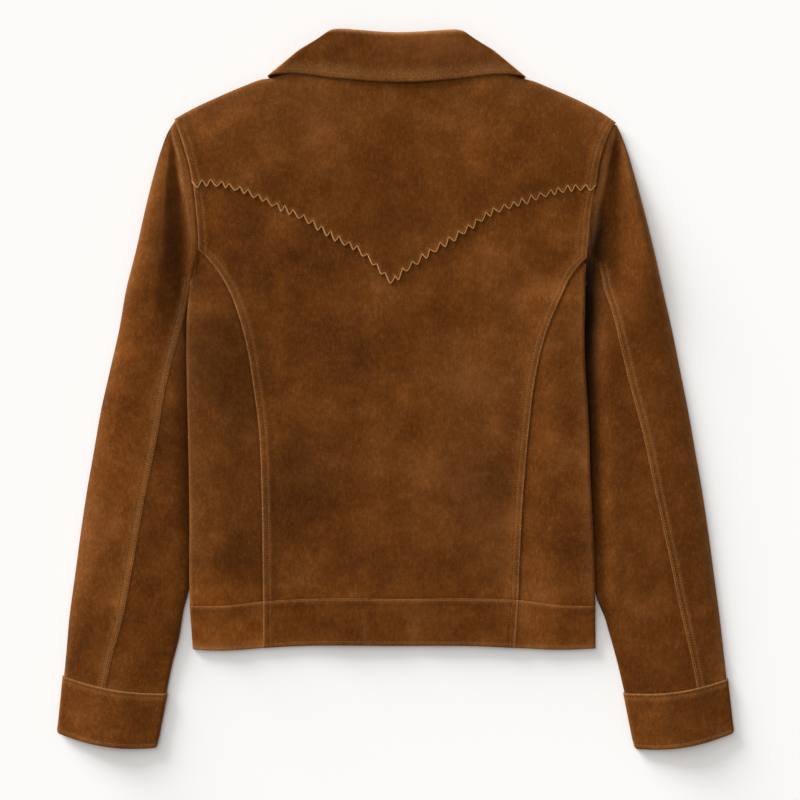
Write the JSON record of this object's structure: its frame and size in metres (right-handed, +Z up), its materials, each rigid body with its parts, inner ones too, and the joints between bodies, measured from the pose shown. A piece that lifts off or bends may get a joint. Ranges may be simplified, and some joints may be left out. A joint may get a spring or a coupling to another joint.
{
  "type": "suede jacket",
  "caption": "Short western jacket in suede, lying flat with its back up: pinked back yoke, side back panels, two-piece sleeves with cuffs, hem band and turned-down collar.",
  "frame": {"origin": "on the surface that the jacket lies on, under the middle of its length and width", "axes": "+Y towards the collar, +Z up out of the surface towards the back of the jacket, +X to the right seen from above"},
  "size_m": [0.677, 0.7201, 0.0173],
  "materials": {
    "suede": "brushed nap, matt, mottled brown with lighter rubbed seam edges",
    "suede_yoke": "brushed nap, matt, with a lighter raw pinked edge"
  },
  "bodies": {
    "root": {"back_centre": "suede", "back_yoke": "suede_yoke", "back_side_left": "suede", "back_side_right": "suede", "front_left": "suede", "front_right": "suede", "band_back_centre": "suede", "band_side_left": "suede", "band_side_right": "suede", "band_front_left": "suede", "band_front_right": "suede", "sleeve_upper_left": "suede", "sleeve_upper_right": "suede", "sleeve_under_left": "suede", "sleeve_under_right": "suede", "cuff_left": "suede", "cuff_right": "suede", "collar_fall": "suede", "collar_stand": "suede"}
  },
  "joints": []
}
